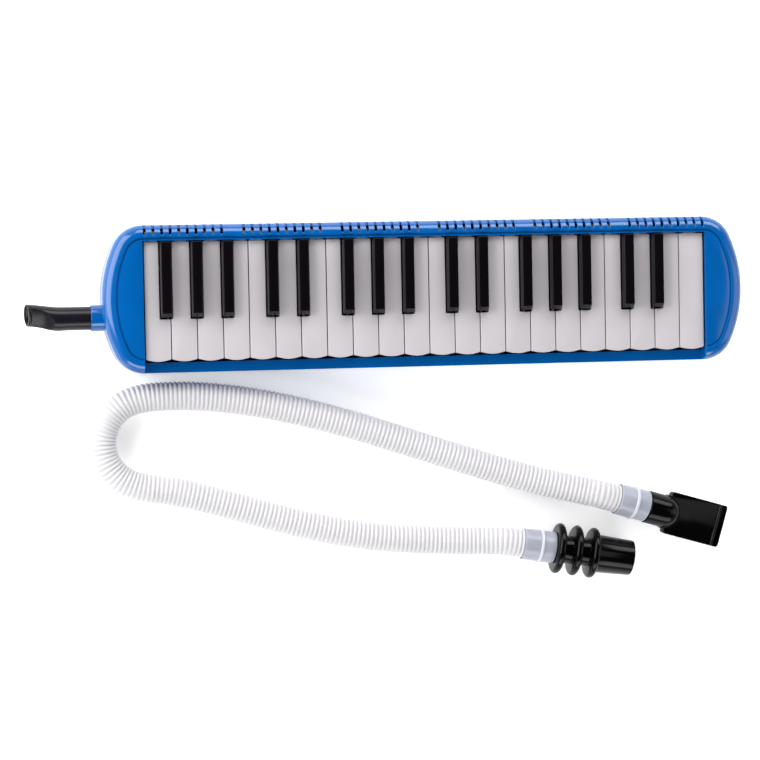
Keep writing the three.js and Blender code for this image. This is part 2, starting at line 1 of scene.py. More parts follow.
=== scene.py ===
# %% [markdown]
# # A melodica and its blowing hose
# A melodica is a small wind instrument with a piano keyboard. Breath goes in at the neck on its
# left end, and each key opens a valve over a brass reed. The frame below holds the engineered
# model: its nodes, joints and sizes. Every piece made here stands on those sizes, in metres.

# %% Load the frame
import math

import bpy
from mathutils import Matrix, Vector


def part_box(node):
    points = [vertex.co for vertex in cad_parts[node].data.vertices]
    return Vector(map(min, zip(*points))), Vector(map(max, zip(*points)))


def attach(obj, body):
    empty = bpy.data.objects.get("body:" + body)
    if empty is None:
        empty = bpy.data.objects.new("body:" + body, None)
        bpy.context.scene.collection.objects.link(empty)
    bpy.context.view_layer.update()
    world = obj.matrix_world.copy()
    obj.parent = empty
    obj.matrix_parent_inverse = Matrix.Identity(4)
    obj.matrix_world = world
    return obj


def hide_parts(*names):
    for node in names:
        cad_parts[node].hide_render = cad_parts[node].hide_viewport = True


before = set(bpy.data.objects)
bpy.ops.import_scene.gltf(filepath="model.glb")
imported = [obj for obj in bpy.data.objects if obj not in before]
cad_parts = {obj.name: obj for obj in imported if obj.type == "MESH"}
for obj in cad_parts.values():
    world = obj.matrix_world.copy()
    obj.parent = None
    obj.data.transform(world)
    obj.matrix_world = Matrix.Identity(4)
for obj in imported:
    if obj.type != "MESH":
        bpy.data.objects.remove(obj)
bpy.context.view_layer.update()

MM = 0.001

# %% [markdown]
# ## Camera
# The instrument lies flat and is seen from almost straight above, a little from its left, with a
# long lens that keeps the keys parallel. The three turns are given in the order Z, Y, X, so the
# first is the roll of the picture and the other two tip the view.

# %% Camera
camera_data = bpy.data.cameras.new("camera")
camera_data.lens = 123.2
camera_data.sensor_width = 36
camera_data.clip_start = 0.1
camera_data.clip_end = 20
camera = bpy.data.objects.new("camera", camera_data)
bpy.context.scene.collection.objects.link(camera)
camera.location = (-0.3229, 0.0086, 1.7119)
camera.rotation_mode = "ZYX"
camera.rotation_euler = [math.radians(angle) for angle in (-2.2, -9.76, -1.5)]
bpy.context.scene.camera = camera
print("camera height:", round(camera.location.z, 3), "m")

# %% [markdown]
# ## Working by hand, in code
# An operator acts on whatever is selected, so each step first clears the selection and then picks
# one object. These small helpers do what a modeller does all day: pick a piece, open it in edit
# mode, apply a modifier, and freeze the piece's place into its mesh.

# %% Helpers for picking and applying
def pick(obj):
    bpy.ops.object.select_all(action="DESELECT")
    obj.select_set(True)
    bpy.context.view_layer.objects.active = obj


def freeze(obj):
    pick(obj)
    bpy.ops.object.transform_apply(location=True, rotation=True, scale=True)


def apply_modifier(obj, kind, **settings):
    pick(obj)
    modifier = obj.modifiers.new(kind.lower(), kind)
    for name, value in settings.items():
        setattr(modifier, name, value)
    bpy.ops.object.modifier_apply(modifier=modifier.name)


def select_where(obj, element, test):
    """Selects the vertices, edges or faces of obj that pass test, in edit mode."""
    pick(obj)
    bpy.ops.object.mode_set(mode="EDIT")
    modes = {"vertices": "VERT", "edges": "EDGE", "polygons": "FACE"}
    bpy.ops.mesh.select_mode(type=modes[element])
    bpy.ops.mesh.select_all(action="DESELECT")
    bpy.ops.object.mode_set(mode="OBJECT")
    for part in getattr(obj.data, element):
        part.select = test(part)
    bpy.ops.object.mode_set(mode="EDIT")


def object_mode():
    bpy.ops.object.mode_set(mode="OBJECT")


def clean(obj, merge=1e-6):
    """Merges doubles and turns every face outwards."""
    pick(obj)
    bpy.ops.object.mode_set(mode="EDIT")
    bpy.ops.mesh.select_all(action="SELECT")
    bpy.ops.mesh.remove_doubles(threshold=merge)
    bpy.ops.mesh.normals_make_consistent(inside=False)
    object_mode()


def smooth(obj, degrees=35):
    pick(obj)
    bpy.ops.object.shade_smooth_by_angle(angle=math.radians(degrees))


def soften(obj, width, segments=2, degrees=40):
    """Rounds every sharp edge, as a mould or a tumbler leaves it."""
    apply_modifier(
        obj,
        "BEVEL",
        width=width,
        segments=segments,
        limit_method="ANGLE",
        angle_limit=math.radians(degrees),
        use_clamp_overlap=False,
        miter_outer="MITER_SHARP",
    )


def soften_some(obj, width, test, segments=2, degrees=38):
    """Rounds only the sharp edges that pass test."""
    select_where(obj, "edges", lambda e: False)
    bpy.ops.mesh.edges_select_sharp(sharpness=math.radians(degrees))
    object_mode()
    chosen = [e.select and test(obj, e) for e in obj.data.edges]
    select_where(obj, "edges", lambda e: chosen[e.index])
    bpy.ops.mesh.bevel(offset=width, segments=segments, affect="EDGES", clamp_overlap=False)
    object_mode()


def new_mesh_object(name, vertices, faces=(), edges=()):
    mesh = bpy.data.meshes.new(name)
    mesh.from_pydata([tuple(v) for v in vertices], edges, faces)
    obj = bpy.data.objects.new(name, mesh)
    bpy.context.scene.collection.objects.link(obj)
    return obj


def box_piece(name, low, high):
    """A cube primitive stretched between two corners: the start of a piece, or a cutter."""
    bpy.ops.object.select_all(action="DESELECT")
    centre = [(a + b) / 2 for a, b in zip(low, high)]
    bpy.ops.mesh.primitive_cube_add(size=1, location=centre)
    obj = bpy.context.active_object
    obj.name = name
    obj.scale = [b - a for a, b in zip(low, high)]
    freeze(obj)
    return obj


def cylinder_piece(name, radius, low, high, sides=32):
    """A cylinder primitive between two points that lie along one axis."""
    bpy.ops.object.select_all(action="DESELECT")
    low, high = Vector(low), Vector(high)
    way = high - low
    bpy.ops.mesh.primitive_cylinder_add(
        vertices=sides, radius=radius, depth=way.length, location=(low + high) / 2
    )
    obj = bpy.context.active_object
    obj.name = name
    obj.rotation_mode = "QUATERNION"
    obj.rotation_quaternion = way.to_track_quat("Z", "Y")
    freeze(obj)
    return obj


def boolean(obj, operation, tools):
    """Joins the tools to obj or cuts them from it, and clears them away."""
    for tool in tools:
        apply_modifier(obj, "BOOLEAN", object=tool, operation=operation, solver="EXACT")
        bpy.data.objects.remove(tool, do_unlink=True)


def merge_objects(objects):
    pick(objects[0])
    for obj in objects:
        obj.select_set(True)
    bpy.ops.object.join()
    return objects[0]


# %% [markdown]
# ## Plastics
# Almost all of the instrument is injection-moulded plastic. What tells one plastic from another is
# its gloss and the faint waviness that the mould leaves. One recipe makes them all: two near
# colours mixed by a slow noise, a roughness that wanders a little, and a fine bump.

# %% Plastic recipe
MATERIALS = {}


def node_tree(name):
    material = bpy.data.materials.new(name)
    MATERIALS[name] = material
    material.use_nodes = True
    tree = material.node_tree
    shader = tree.nodes["Principled BSDF"]
    coordinates = tree.nodes.new("ShaderNodeTexCoord")
    return material, tree, shader, coordinates.outputs["Object"]


def noise(tree, source, scale, detail=3.0, stretch=None):
    texture = tree.nodes.new("ShaderNodeTexNoise")
    texture.inputs["Scale"].default_value = scale
    texture.inputs["Detail"].default_value = detail
    if stretch:
        mapping = tree.nodes.new("ShaderNodeMapping")
        mapping.inputs["Scale"].default_value = stretch
        tree.links.new(source, mapping.inputs["Vector"])
        source = mapping.outputs["Vector"]
    tree.links.new(source, texture.inputs["Vector"])
    return texture.outputs["Fac"]


def ramp_colours(tree, factor, low, high):
    ramp = tree.nodes.new("ShaderNodeValToRGB")
    ramp.color_ramp.elements[0].position = 0.3
    ramp.color_ramp.elements[1].position = 0.7
    ramp.color_ramp.elements[0].color = (*low, 1)
    ramp.color_ramp.elements[1].color = (*high, 1)
    tree.links.new(factor, ramp.inputs["Fac"])
    return ramp.outputs["Color"]


def map_range(tree, factor, low, high):
    node = tree.nodes.new("ShaderNodeMapRange")
    node.inputs["From Min"].default_value = 0.3
    node.inputs["From Max"].default_value = 0.7
    node.inputs["To Min"].default_value = low
    node.inputs["To Max"].default_value = high
    tree.links.new(factor, node.inputs["Value"])
    return node.outputs["Result"]


def bump(tree, shader, height, distance, strength=1.0):
    node = tree.nodes.new("ShaderNodeBump")
    node.inputs["Strength"].default_value = strength
    node.inputs["Distance"].default_value = distance
    tree.links.new(height, node.inputs["Height"])
    tree.links.new(node.outputs["Normal"], shader.inputs["Normal"])
    return node


def plastic(name, colour, roughness, variation=0.06, grain=900, depth=0.00001, shine=0.5):
    material, tree, shader, place = node_tree(name)
    low = [c * (1 - variation) for c in colour]
    high = [min(1, c * (1 + variation)) for c in colour]
    cloud = noise(tree, place, 35)
    tree.links.new(ramp_colours(tree, cloud, low, high), shader.inputs["Base Color"])
    wander = noise(tree, place, 120, 5)
    spread = map_range(tree, wander, roughness * 0.9, roughness * 1.12)
    tree.links.new(spread, shader.inputs["Roughness"])
    bump(tree, shader, noise(tree, place, grain, 2), depth)
    shader.inputs["Specular IOR Level"].default_value = shine
    return material


case_blue = plastic("case_blue", (0.0, 0.075, 0.275), 0.15)
key_white = plastic("key_white", (0.415, 0.39, 0.408), 0.2, variation=0.02)
key_black = plastic("key_black", (0.0026, 0.0020, 0.0030), 0.12, variation=0.15, shine=0.14)
mouthpiece_black = plastic(
    "mouthpiece_black", (0.0062, 0.0048, 0.0080), 0.26, variation=0.15, shine=0.2
)
fitting_black = plastic("fitting_black", (0.0008, 0.0011, 0.0009), 0.13, variation=0.15, shine=0.12)
hose_white = plastic("hose_white", (0.49, 0.48, 0.495), 0.42, variation=0.02)
inner_plastic = plastic("inner_plastic", (0.03, 0.032, 0.036), 0.5, grain=500, depth=0.00003)
gasket_rubber = plastic("gasket_rubber", (0.02, 0.02, 0.021), 0.8, grain=700, depth=0.00004)
print("plastics:", [m.name for m in bpy.data.materials])

# %% [markdown]
# ## Frosted cuffs
# The cuffs on the hose are soft vinyl, milky and slightly see-through, so some light passes into
# them. Subsurface scattering over a few millimetres gives that milky edge. Their lips are doubled
# over and look paler.

# %% Frosted vinyl
cuff_frosted = plastic("cuff_frosted", (0.28, 0.295, 0.35), 0.34, variation=0.12, depth=0.00002)
cuff_lip = plastic("cuff_lip", (0.46, 0.46, 0.50), 0.34, variation=0.03)
frosted_shader = cuff_frosted.node_tree.nodes["Principled BSDF"]
frosted_shader.inputs["Subsurface Weight"].default_value = 0.35
frosted_shader.inputs["Subsurface Radius"].default_value = (1, 1, 1.2)
frosted_shader.inputs["Subsurface Scale"].default_value = 0.003

# %% [markdown]
# ## Metals and felt
# Rolled brass and spring steel show fine scratches along their length, made by a noise that is
# stretched along X. Felt is matt, with a fibrous bump and a little sheen.

# %% Metals and felt
def metal(name, colour, roughness):
    material, tree, shader, place = node_tree(name)
    shader.inputs["Metallic"].default_value = 1.0
    scratches = noise(tree, place, 400, 6, stretch=(0.05, 1, 1))
    low = [c * 0.85 for c in colour]
    tree.links.new(ramp_colours(tree, scratches, low, colour), shader.inputs["Base Color"])
    spread = map_range(tree, scratches, roughness * 0.8, roughness * 1.3)
    tree.links.new(spread, shader.inputs["Roughness"])
    bump(tree, shader, scratches, 0.000008)
    return material


reed_brass = metal("reed_brass", (0.72, 0.48, 0.17), 0.3)
spring_steel = metal("spring_steel", (0.56, 0.57, 0.6), 0.28)
screw_steel = metal("screw_steel", (0.5, 0.5, 0.52), 0.32)


def felt(name, colour):
    material, tree, shader, place = node_tree(name)
    fibres = noise(tree, place, 1800, 8)
    low = [c * 0.6 for c in colour]
    tree.links.new(ramp_colours(tree, fibres, low, colour), shader.inputs["Base Color"])
    bump(tree, shader, fibres, 0.0003)
    shader.inputs["Roughness"].default_value = 0.95
    shader.inputs["Sheen Weight"].default_value = 0.4
    return material


stop_felt = felt("stop_felt", (0.26, 0.02, 0.035))
pad_felt = felt("pad_felt", (0.30, 0.22, 0.14))


def finish_piece(obj, slot, body, *nodes):
    """Gives a piece its finish, its body, and the nodes that it stands for."""
    if not obj.data.materials:
        obj.data.materials.append(MATERIALS[slot])
    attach(obj, body)
    if nodes:
        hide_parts(*nodes)
    print(obj.name, len(obj.data.polygons), "faces, rides", body)


# %% [markdown]
# ## The blowing hose
# The hose is a blow-moulded tube whose wall runs in small rings, three millimetres apart, so that
# it bends without closing. It lies loose on the table, from the flat mouthpiece round a wide turn
# and back to the connector. Its ends stand in two fittings, and each fitting has a frame: a point
# on the hose's end, a heading and a dip.

# %% Where the fittings lie
def fitting_frame(face, heading, dip):
    turn = Matrix.Rotation(math.radians(heading), 4, "Z")
    tip = Matrix.Rotation(math.radians(dip), 4, "Y")
    return Matrix.Translation(Vector(face) * MM) @ (turn @ tip)


UPPER = fitting_frame((129, -140.6, 15.2), -16.5, 6.5)
LOWER = fitting_frame((63, -168.4, 17.2), -9.5, 0)
AIR = 0.3 * MM

RESTING = 9.9
OUTWARD = [
    (103, -133.8, 14.6),
    (76, -127, 11.4),
    (46, -118, RESTING),
    (16, -108.2, RESTING),
    (-14, -98, RESTING),
    (-44, -88, RESTING),
    (-76, -78.5, RESTING),
    (-107, -71, RESTING),
    (-137, -66, RESTING),
    (-164, -64, RESTING),
]
TURN = {"x": -186, "y": -94, "radius": 29, "start": 96, "end": 254, "points": 7}
BACK = [
    (-171, -126, RESTING),
    (-144, -133, RESTING),
    (-118, -141, RESTING),
    (-91, -149, RESTING),
    (-61, -156.5, RESTING),
    (-31, -161.5, RESTING),
    (0, -164.2, 10.6),
    (26, -165.6, 13.2),
]


def turn_point(i):
    share = i / (TURN["points"] - 1)
    angle = math.radians(TURN["start"] + (TURN["end"] - TURN["start"]) * share)
    x = TURN["x"] + TURN["radius"] * math.cos(angle)
    y = TURN["y"] + TURN["radius"] * math.sin(angle)
    return x, y, RESTING


middle_route = OUTWARD + [turn_point(i) for i in range(TURN["points"])] + BACK
route = [UPPER @ Vector((-AIR, 0, 0)), UPPER @ Vector((-12 * MM, 0, 0))]
route += [Vector(point) * MM for point in middle_route]
route += [LOWER @ Vector((-12 * MM, 0, 0)), LOWER @ Vector((-AIR, 0, 0))]


# %% One smooth line through the route
def smooth_line(points, step):
    """A centripetal Catmull-Rom line through the points, sampled about every step."""
    ends = [2 * points[0] - points[1], *points, 2 * points[-1] - points[-2]]
    line = []
    for p0, p1, p2, p3 in zip(ends, ends[1:], ends[2:], ends[3:]):
        t = [0.0]
        for a, b in ((p0, p1), (p1, p2), (p2, p3)):
            t.append(t[-1] + math.sqrt((b - a).length))
        count = max(2, round((p2 - p1).length / step))
        for i in range(count):
            u = t[1] + (t[2] - t[1]) * i / count
            a1 = p0.lerp(p1, (u - t[0]) / (t[1] - t[0]))
            a2 = p1.lerp(p2, (u - t[1]) / (t[2] - t[1]))
            a3 = p2.lerp(p3, (u - t[2]) / (t[3] - t[2]))
            b1 = a1.lerp(a2, (u - t[0]) / (t[2] - t[0]))
            b2 = a2.lerp(a3, (u - t[1]) / (t[3] - t[1]))
            line.append(b1.lerp(b2, (u - t[1]) / (t[2] - t[1])))
    return [*line, points[-1]]


def even_points(line, count):
    """count points along the line, the same distance apart, and the line's length."""
    reach = [0.0]
    for a, b in zip(line, line[1:]):
        reach.append(reach[-1] + (b - a).length)
    points = []
    at = 0
    for i in range(count):
        want = reach[-1] * i / (count - 1)
        while at < len(reach) - 2 and reach[at + 1] < want:
            at += 1
        share = (want - reach[at]) / (reach[at + 1] - reach[at])
        points.append(line[at].lerp(line[at + 1], share))
    return points, reach[-1]


centre_line, hose_length = even_points(smooth_line(route, 0.002), 400)
print("hose length:", round(hose_length, 4), "m")

# %% [markdown]
# The rings are modelled as a long skin of circles whose radius swings in and out. A cylinder with
# a displacement would do, but it would slide on the bend; a skin that follows the line keeps each
# ring square to it. A last circle closes each end.

# %% The ringed skin
HOSE_RADIUS = 9.75 * MM
RIB_PITCH = 2.9 * MM
RIB_DEPTH = 0.95 * MM
RIB_STEPS = 6
HOSE_SIDES = 28


def rib_radius(phase):
    """A round crest with a narrow valley once every turn of phase."""
    wave = 0.5 + 0.5 * math.cos(2 * math.pi * phase)
    return HOSE_RADIUS - RIB_DEPTH * (1 - wave**0.6)


def skin(name, points, radii, sides):
    """Circles of the given radii, square to the line of points, joined and closed at its ends."""
    vertices = []
    up = Vector((0, 0, 1))
    for i, (point, radius) in enumerate(zip(points, radii)):
        ahead = points[min(i + 1, len(points) - 1)] - points[max(i - 1, 0)]
        side = ahead.cross(up).normalized()
        top = side.cross(ahead).normalized()
        for j in range(sides):
            angle = 2 * math.pi * j / sides
            vertices.append(point + radius * (math.cos(angle) * side + math.sin(angle) * top))
    faces = []
    for i in range(len(points) - 1):
        for j in range(sides):
            k = (j + 1) % sides
            row, after = i * sides, (i + 1) * sides
            faces.append((row + j, row + k, after + k, after + j))
    faces.append(tuple(range(sides)))
    last = (len(points) - 1) * sides
    faces.append(tuple(reversed(range(last, last + sides))))
    obj = new_mesh_object(name, vertices, faces)
    clean(obj)
    return obj


inside_cuff = 2.5 * MM
hose_line = [UPPER @ Vector((inside_cuff, 0, 0)), *centre_line, LOWER @ Vector((inside_cuff, 0, 0))]
rib_count = round(hose_length / RIB_PITCH)
ring_points, _ = even_points(hose_line, rib_count * RIB_STEPS + 1)
ring_radii = [rib_radius(i / RIB_STEPS) for i in range(len(ring_points))]
hose = skin("hose", ring_points, ring_radii, HOSE_SIDES)
smooth(hose, 80)
finish_piece(hose, "hose_white", "hose_set", "hose_tube")
print("ribs:", rib_count)


# %% [markdown]
# ## Turned fittings
# Cuffs, connector and neck are round, so each is a profile spun about its own X axis. The profile
# is drawn as a closed line, spun all the way, and its doubles are merged.

# %% Spinning a profile
def arc(x, radius, size, start, end, steps=6):
    """Points of a round corner in a profile, from one angle to another, in millimetres."""
    points = []
    for i in range(steps + 1):
        angle = math.radians(start + (end - start) * i / steps)
        points.append((x + size * math.cos(angle), radius + size * math.sin(angle)))
    return points


def spun(name, profile, place, steps=72):
    """profile is a closed list of (x, radius) in millimetres, spun about the frame's X axis."""
    points = [(x * MM, 0, radius * MM) for x, radius in profile]
    links = [(i, (i + 1) % len(points)) for i in range(len(points))]
    obj = new_mesh_object(name, points, edges=links)
    pick(obj)
    bpy.ops.object.mode_set(mode="EDIT")
    bpy.ops.mesh.select_all(action="SELECT")
    bpy.ops.mesh.spin(steps=steps, angle=2 * math.pi, center=(0, 0, 0), axis=(1, 0, 0))
    object_mode()
    clean(obj)
    obj.matrix_world = place
    freeze(obj)
    return obj


def make_cuff(name, place):
    """A sleeve with a thick rim at the hose, one raised ring, and a lip at the fitting."""
    profile = [(7, 9.9), (7, 6.5), (21.9, 6.5)]
    profile += arc(21.4, 10.1, 0.5, 0, 90)
    profile += [(13.6, 10.6)]
    profile += arc(12.9, 10.9, 0.5, 0, 90, 4)
    profile += arc(12.1, 10.9, 0.5, 90, 180, 4)
    profile += [(11.3, 10.6), (2.4, 10.45)]
    profile += arc(0.9, 10.0, 0.6, 90, 180)
    profile += [(0.3, 9.9)]
    sleeve = spun(name, profile, Matrix.Identity(4))
    sleeve.data.materials.append(cuff_frosted)
    sleeve.data.materials.append(cuff_lip)
    for face in sleeve.data.polygons:
        x = face.center.x / MM
        face.material_index = 1 if 11.4 < x < 13.5 or x > 20.4 else 0
    sleeve.matrix_world = place
    freeze(sleeve)
    return sleeve


for name, node, place in (
    ("cuff_at_mouthpiece", "hose_cuff_mouthpiece", UPPER),
    ("cuff_at_connector", "hose_cuff_connector", LOWER),
):
    cuff = make_cuff(name, place)
    smooth(cuff)
    finish_piece(cuff, "cuff_frosted", "hose_set", node)

# %% [markdown]
# ## The ringed connector
# The connector pushes over the neck. Its three round rings give the fingers a hold, and its last
# part is a slightly tapered socket with a thin wall.

# %% Connector
PAST_CUFF = 22.3


def connector_profile():
    ring_pitch, ring_half, ring_radius, barrel = 11.8, 2.5, 17.0, 9.5
    profile = [(9, 4.8), (8, 5.2), (8, 6.1), (PAST_CUFF, 6.1)]
    for i in range(3):
        middle = PAST_CUFF + ring_half + i * ring_pitch
        if i:
            profile += arc(middle - ring_half - 0.8, barrel + 0.8, 0.8, 270, 360, 4)
        profile += arc(middle, ring_radius - ring_half, ring_half, 180, 0, 14)
        if i < 2:
            profile += arc(middle + ring_half + 0.8, barrel + 0.8, 0.8, 180, 270, 4)
    last_ring = PAST_CUFF + 2 * ring_pitch + 2 * ring_half
    mouth = last_ring + 25
    profile += [(last_ring, 13.2), (last_ring + 0.8, 12.85)]
    profile += arc(mouth - 0.6, 11.2, 0.6, 90, 0, 5)
    profile += arc(mouth - 0.4, 10.6, 0.4, 0, -90, 4)
    profile += [(last_ring + 2, 9.4), (last_ring + 1, 9), (last_ring - 6, 7), (13, 4.8)]
    return profile


connector = spun("connector", connector_profile(), LOWER, steps=96)
smooth(connector)
finish_piece(connector, "fitting_black", "hose_set", "hose_connector")

# %% [markdown]
# ## The flat mouthpiece
# Its root is a smooth dome like half a capsule, and out of it grows a flat blade with rounded
# corners, a bead near the tip that the lips rest behind, and a slot for the breath. The blade is a
# cube that is bevelled hard, and the two are joined so that the seam reads as one moulding.

# %% Flat mouthpiece
def flat_mouthpiece():
    dome_radius, dome_middle = 11.0, PAST_CUFF + 14.0
    blade_start, tip, half_width = PAST_CUFF + 15.6, PAST_CUFF + 57.5, 14.5
    profile = [(PAST_CUFF, 0.01), (PAST_CUFF, 10.3)]
    profile += arc(PAST_CUFF + 0.7, 10.3, 0.7, 180, 90, 4)
    for i in range(17):
        angle = math.radians(90 * i / 16)
        along = dome_middle + dome_radius * math.sin(angle)
        profile.append((along, max(0.01, dome_radius * math.cos(angle))))
    dome = spun("flat_mouthpiece", profile, Matrix.Identity(4))

    blade = box_piece(
        "blade",
        (blade_start * MM, -half_width * MM, -3.5 * MM),
        (tip * MM, half_width * MM, 3.5 * MM),
    )
    for vertex in blade.data.vertices:
        if vertex.co.x > (blade_start + 5) * MM:
            vertex.co.z *= 0.8
    select_where(blade, "edges", lambda e: upright(blade, e))
    bpy.ops.mesh.bevel(offset=1.8 * MM, segments=5, affect="EDGES")
    object_mode()
    shoulder = box_piece(
        "shoulder",
        ((blade_start - 2.5) * MM, -11.6 * MM, -3 * MM),
        ((blade_start + 4) * MM, 11.6 * MM, 3 * MM),
    )
    bead = cylinder_piece(
        "bead",
        1.5 * MM,
        ((tip - 5.4) * MM, -(half_width - 0.4) * MM, 0),
        ((tip - 5.4) * MM, (half_width - 0.4) * MM, 0),
        40,
    )
    for vertex in bead.data.vertices:
        vertex.co.z *= 2.65
    spigot = cylinder_piece("spigot", 6.1 * MM, (8 * MM, 0, 0), ((PAST_CUFF + 2) * MM, 0, 0), 48)
    slot = box_piece(
        "slot",
        ((tip - 14) * MM, -(half_width - 2) * MM, -1.3 * MM),
        ((tip + 1) * MM, (half_width - 2) * MM, 1.3 * MM),
    )
    bore = cylinder_piece("bore", 4.4 * MM, (7 * MM, 0, 0), ((tip - 10) * MM, 0, 0), 32)
    thin = box_piece("thin", (7 * MM, -0.02, -1.3 * MM), ((tip - 10) * MM, 0.02, 1.3 * MM))
    boolean(bore, "INTERSECT", [thin])
    boolean(dome, "UNION", [blade, shoulder, bead, spigot])
    boolean(dome, "DIFFERENCE", [slot, bore])
    soften(dome, 0.4 * MM, 3, 32)
    dome.matrix_world = UPPER
    freeze(dome)
    return dome


def upright(obj, edge):
    a, b = (obj.data.vertices[i].co for i in edge.vertices)
    return abs(a.x - b.x) < 1e-6 and abs(a.y - b.y) < 1e-6


mouth_blade = flat_mouthpiece()
smooth(mouth_blade)
finish_piece(mouth_blade, "fitting_black", "hose_set", "hose_mouthpiece")

# %% [markdown]

# %% [markdown]
# ## The case outline
# Seen from above, each end of the case is three arcs that meet smoothly: a wide one, and a small
# one at each corner. The outline drawn in by some distance keeps the same centres, so the rim, the
# groove and the inner wall can all come from one formula.

# %% Outline of the case
HALF_JOINT = 0.15  # half of the gap between the two shells
_, cover_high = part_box("top_cover")
_, case_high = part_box("bottom_case")
HALF_LENGTH = cover_high.x / MM
HALF_DEPTH = cover_high.y / MM
TOP = cover_high.z / MM
PARTING = case_high.z / MM + HALF_JOINT
HALF_KEYBOARD = 187
END_RADIUS = 85
BULGE = HALF_LENGTH - HALF_KEYBOARD
CORNER_RADIUS = (END_RADIUS**2 - (END_RADIUS - BULGE) ** 2 - HALF_DEPTH**2) / (
    2 * (END_RADIUS - HALF_DEPTH)
)


def outline(inset, corner_steps=14, end_steps=14):
    """The case seen from above, drawn in by inset, as (x, y) in millimetres, anticlockwise."""
    corner_y = HALF_DEPTH - CORNER_RADIUS
    end_x = HALF_KEYBOARD + BULGE - END_RADIUS
    turn = math.atan2(corner_y, HALF_KEYBOARD - end_x)
    quarter = math.pi / 2
    right = [
        (HALF_KEYBOARD, -corner_y, CORNER_RADIUS, -quarter, -turn, corner_steps),
        (end_x, 0, END_RADIUS, -turn, turn, end_steps),
        (HALF_KEYBOARD, corner_y, CORNER_RADIUS, turn, quarter, corner_steps),
    ]
    points = []
    for x, y, radius, start, end, steps in right:
        for i in range(steps):
            angle = start + (end - start) * i / steps
            size = radius - inset
            points.append((x + size * math.cos(angle), y + size * math.sin(angle)))
    points.append((HALF_KEYBOARD, HALF_DEPTH - inset))
    return points + [(-x, -y) for x, y in points]


print("outline points:", len(outline(0)), "corner radius", round(CORNER_RADIUS, 1))

# %% [markdown]
# ## The top cover
# The cover starts as the outline, pulled up into a block. A wide bevel on its upper edge makes the
# fat rim, and insets in its top face sink the fine groove and the D-shaped panels. The block is
# hollowed, and then the keyboard window and the vents are cut.

# %% Blocks with one round edge
def on_level(obj, edge, z):
    return all(abs(obj.data.vertices[i].co.z - z * MM) < 1e-6 for i in edge.vertices)


def round_block(name, inset, low, high, radius, segments, at_top=True):
    """The case outline pulled up from low to high, with its top or bottom edge rounded."""
    ring = outline(inset)
    vertices = [(x * MM, y * MM, low * MM) for x, y in ring]
    block = new_mesh_object(name, vertices, [tuple(reversed(range(len(ring))))])
    pick(block)
    bpy.ops.object.mode_set(mode="EDIT")
    bpy.ops.mesh.select_all(action="SELECT")
    bpy.ops.mesh.extrude_region_move(TRANSFORM_OT_translate={"value": (0, 0, (high - low) * MM)})
    object_mode()
    clean(block)
    level = high if at_top else low
    select_where(block, "edges", lambda e: on_level(block, e, level))
    bpy.ops.mesh.bevel(offset=radius * MM, segments=segments, affect="EDGES")
    object_mode()
    return block


def sink_top(block, steps):
    """Insets the face at the top, again and again, by (inset, rise) in millimetres."""
    face = max(block.data.polygons, key=lambda f: (round(f.center.z, 5), f.area))
    index = face.index
    select_where(block, "polygons", lambda f: f.index == index)
    for inset, rise in steps:
        bpy.ops.mesh.inset(thickness=inset * MM, depth=rise * MM)
    object_mode()


# %% Hollow shell with rim, groove and panels
WALL = 2.2
RIM = 8.0
cover = round_block("cover", 0, PARTING + HALF_JOINT, TOP, RIM, 12)
groove_steps = [(0.2, 0), (0.35, -1.1), (0.9, -0.1), (0.3, 0.8)]
sink_top(cover, groove_steps)
room = round_block("room", WALL, PARTING - 4, TOP - WALL, RIM - WALL, 8)
boolean(cover, "DIFFERENCE", [room])
print("cover shell:", len(cover.data.polygons), "faces")

# %% [markdown]
# The window is as wide as the keyboard. In front of the keys the cover drops to a low rail, so the
# ends of the case stand up beside the keys as two cheeks. Thin walls close the cheeks.

# %% Cheeks, rail and window
WINDOW_X = 187.6
WINDOW_FRONT, WINDOW_BACK = -41.3, 37.6
RAIL_TOP = 24.0


def cheek_wall(side):
    inner, outer = sorted((side * WINDOW_X, side * (WINDOW_X + 1.8)))
    wall = box_piece(
        "cheek_wall",
        (inner * MM, -0.06, (PARTING + 0.5) * MM),
        (outer * MM, 0.06, (TOP - 1.6) * MM),
    )
    fill = round_block("fill", 0.6, PARTING + 0.3, TOP - 0.6, RIM - 0.6, 6)
    boolean(wall, "INTERSECT", [fill])
    return wall


rail = box_piece(
    "rail",
    (-(WINDOW_X + 1) * MM, (WALL - HALF_DEPTH - 0.6) * MM, (RAIL_TOP - WALL) * MM),
    ((WINDOW_X + 1) * MM, WINDOW_FRONT * MM, (RAIL_TOP + 2) * MM),
)
boolean(cover, "UNION", [cheek_wall(-1), cheek_wall(1), rail])
over_rail = box_piece(
    "over_rail",
    (-WINDOW_X * MM, -0.07, RAIL_TOP * MM),
    (WINDOW_X * MM, (WINDOW_FRONT + 1) * MM, 0.06),
)
window = box_piece(
    "window",
    (-WINDOW_X * MM, WINDOW_FRONT * MM, -0.01),
    (WINDOW_X * MM, WINDOW_BACK * MM, 0.06),
)
boolean(cover, "DIFFERENCE", [window, over_rail])
print("cover with window:", len(cover.data.polygons), "faces")

# %% [markdown]
# ## The vents
# Sound leaves through sixty slots over the back edge, in six groups of ten. One slot is a cube with
# a round front end. Its underside slopes down to the back, so its front is a blind pocket that
# hides the keys' tails, and it opens into the case further back. It is copied along the keyboard,
# and all the copies are cut at once.

# %% Vent cutters
VENT_GROUPS, VENTS_PER_GROUP = 6, 10
VENT_PITCH, VENT_WIDTH = 5.55, 1.8
VENT_FRONT, VENT_BOTTOM = 41.0, 26.0
VENT_SLOPE = 1.0
POCKET_DEPTH = 1.7


